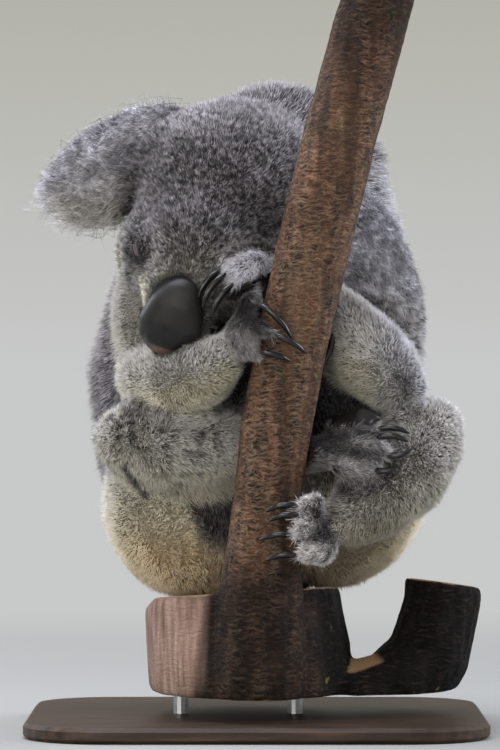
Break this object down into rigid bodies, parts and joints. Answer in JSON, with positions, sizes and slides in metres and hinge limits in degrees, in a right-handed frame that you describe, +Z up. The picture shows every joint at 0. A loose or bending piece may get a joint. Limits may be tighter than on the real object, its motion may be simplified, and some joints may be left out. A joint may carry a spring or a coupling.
{
  "type": "sleeping koala on a branch",
  "caption": "Life-size still model of a sleeping koala, curled up in a cut tree fork and hugging its upright branch, on a plain display stand.",
  "frame": {"origin": "on the floor under the middle of the stand's base, which is the bottom centre of the whole model's box", "axes": "+Z up; the koala faces -Y; +X points to the koala's own left"},
  "size_m": [0.352, 0.316, 0.5737],
  "materials": {
    "horn": "dark grey horn, satin, paler towards the tip",
    "rod_steel": "brushed steel rod",
    "base_wood": "dark stained wood, satin",
    "branch_bark": "worn reddish brown bark with short dark flecks",
    "stump_bark": "dark bark, stripped to pale brown wood on one side",
    "nose_leather": "matt black nose leather",
    "lid_skin": "bare greyish pink lid skin",
    "ear_fur": "long grey fur with whitish tips and a cream fringe",
    "paw_fur": "short pale grey fur over dark skin",
    "thigh_fur": "grey fur fading to cream underneath",
    "limb_fur": "thick pale grey fur, cream underneath",
    "head_fur": "dense short grey fur with pale tips",
    "back_fur": "dense woolly brownish grey fur"
  },
  "bodies": {
    "root": {"claw_foot_left_2": "horn", "claw_foot_left_3": "horn", "claw_foot_left_4": "horn", "claw_foot_left_5": "horn", "claw_foot_right_2": "horn", "claw_foot_right_3": "horn", "claw_foot_right_4": "horn", "claw_foot_right_5": "horn", "claw_hand_left_1": "horn", "claw_hand_left_2": "horn", "claw_hand_left_3": "horn", "claw_hand_left_4": "horn", "claw_hand_left_5": "horn", "claw_hand_right_1": "horn", "claw_hand_right_2": "horn", "claw_hand_right_3": "horn", "claw_hand_right_4": "horn", "claw_hand_right_5": "horn", "ear_left": "ear_fur", "ear_right": "ear_fur", "eyelids_left": "lid_skin", "eyelids_right": "lid_skin", "foot_left": "paw_fur", "foot_right": "paw_fur", "forearm_left": "limb_fur", "forearm_right": "limb_fur", "hand_left": "paw_fur", "hand_right": "paw_fur", "head": "head_fur", "neck": "back_fur", "nose": "nose_leather", "perch_branch": "branch_bark", "perch_fork": "stump_bark", "perch_stump": "stump_bark", "shin_left": "limb_fur", "shin_right": "limb_fur", "stand_base": "base_wood", "stand_rod_left": "rod_steel", "stand_rod_right": "rod_steel", "thigh_left": "thigh_fur", "thigh_right": "thigh_fur", "trunk": "back_fur", "upper_arm_left": "head_fur", "upper_arm_right": "head_fur"}
  },
  "joints": []
}
